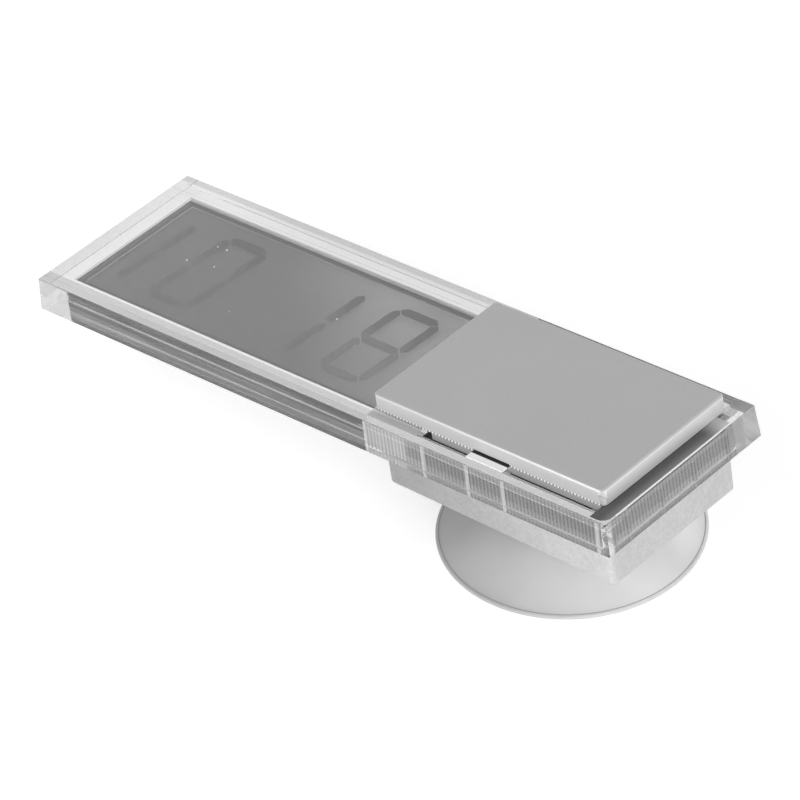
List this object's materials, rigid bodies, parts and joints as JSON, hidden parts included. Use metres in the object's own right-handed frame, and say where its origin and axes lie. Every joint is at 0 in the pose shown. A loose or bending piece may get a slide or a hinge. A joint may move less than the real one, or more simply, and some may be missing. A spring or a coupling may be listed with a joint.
{
  "type": "digital car clock",
  "caption": "Slim digital clock for a car: clear face plate with see-through display, silver lift-off cover over the cell and buttons, frosted housing and sucker.",
  "frame": {"origin": "centre of the sucker's sealing rim, on the surface that it holds to", "axes": "+Z along the sucker's axis away from that surface, +X from the display end towards the covered end, +Y towards the top of the digits"},
  "size_m": [0.1003, 0.035, 0.0226],
  "materials": {
    "clear_acrylic": "polished, water clear",
    "clear_frame": "clear, finely ribbed",
    "polariser_film": "neutral grey film",
    "display_glass": "thin float glass",
    "seal_resin": "grey cured resin",
    "digit_ink": "darkened liquid crystal",
    "black_plastic": "black moulded",
    "board_laminate": "green solder mask",
    "striped_rubber": "striped conductive rubber",
    "black_resin": "glossy black epoxy",
    "bright_steel": "nickel plated",
    "screw_steel": "zinc plated",
    "tan_ceramic": "ceramic with tinned ends",
    "contact_brass": "stamped spring strip",
    "gasket_nylon": "nylon seal",
    "frosted_plastic": "frosted translucent",
    "silver_paint": "fine metallic silver paint, satin",
    "pad_foam": "black cell foam",
    "button_plastic": "grey moulded",
    "soft_vinyl": "soft clear vinyl"
  },
  "bodies": {
    "sucker": {"sucker": "soft_vinyl"},
    "clock_head": {"face_plate": "clear_acrylic", "rear_window": "clear_acrylic", "front_polariser": "polariser_film", "front_glass": "display_glass", "crystal_seal": "seal_resin", "digit_bars": "digit_ink", "rear_glass": "display_glass", "rear_polariser": "polariser_film", "ribbed_frame": "clear_frame", "module_tray": "black_plastic", "circuit_board": "board_laminate", "zebra_strip": "striped_rubber", "chip_blob": "black_resin", "quartz_crystal": "bright_steel", "chip_capacitors": "tan_ceramic", "negative_contact": "contact_brass", "positive_contact": "contact_brass", "cell_can": "bright_steel", "cell_gasket": "gasket_nylon", "cell_cap": "bright_steel", "switch_domes": "bright_steel", "rear_housing": "frosted_plastic", "housing_screws": "screw_steel"},
    "cover": {"silver_cover": "silver_paint", "cover_pad": "pad_foam"},
    "mode_button": {"mode_button": "button_plastic"},
    "set_button": {"set_button": "button_plastic"}
  },
  "joints": [
    {"name": "head_swivel", "type": "hinge", "parent": "sucker", "child": "clock_head", "pos_m": [0, 0, 0.0075], "axis": [0, 0, 1], "continuous": true},
    {"name": "cover_lift", "type": "slide", "parent": "clock_head", "child": "cover", "axis": [-0.0906, 0, 0.9959], "range_m": [0, 0.014]},
    {"name": "mode_button_press", "type": "slide", "parent": "clock_head", "child": "mode_button", "axis": [0.0906, 0, -0.9959], "range_m": [0, 0.00035], "stiffness_N_per_m": 400},
    {"name": "set_button_press", "type": "slide", "parent": "clock_head", "child": "set_button", "axis": [0.0906, 0, -0.9959], "range_m": [0, 0.00035], "stiffness_N_per_m": 400}
  ]
}
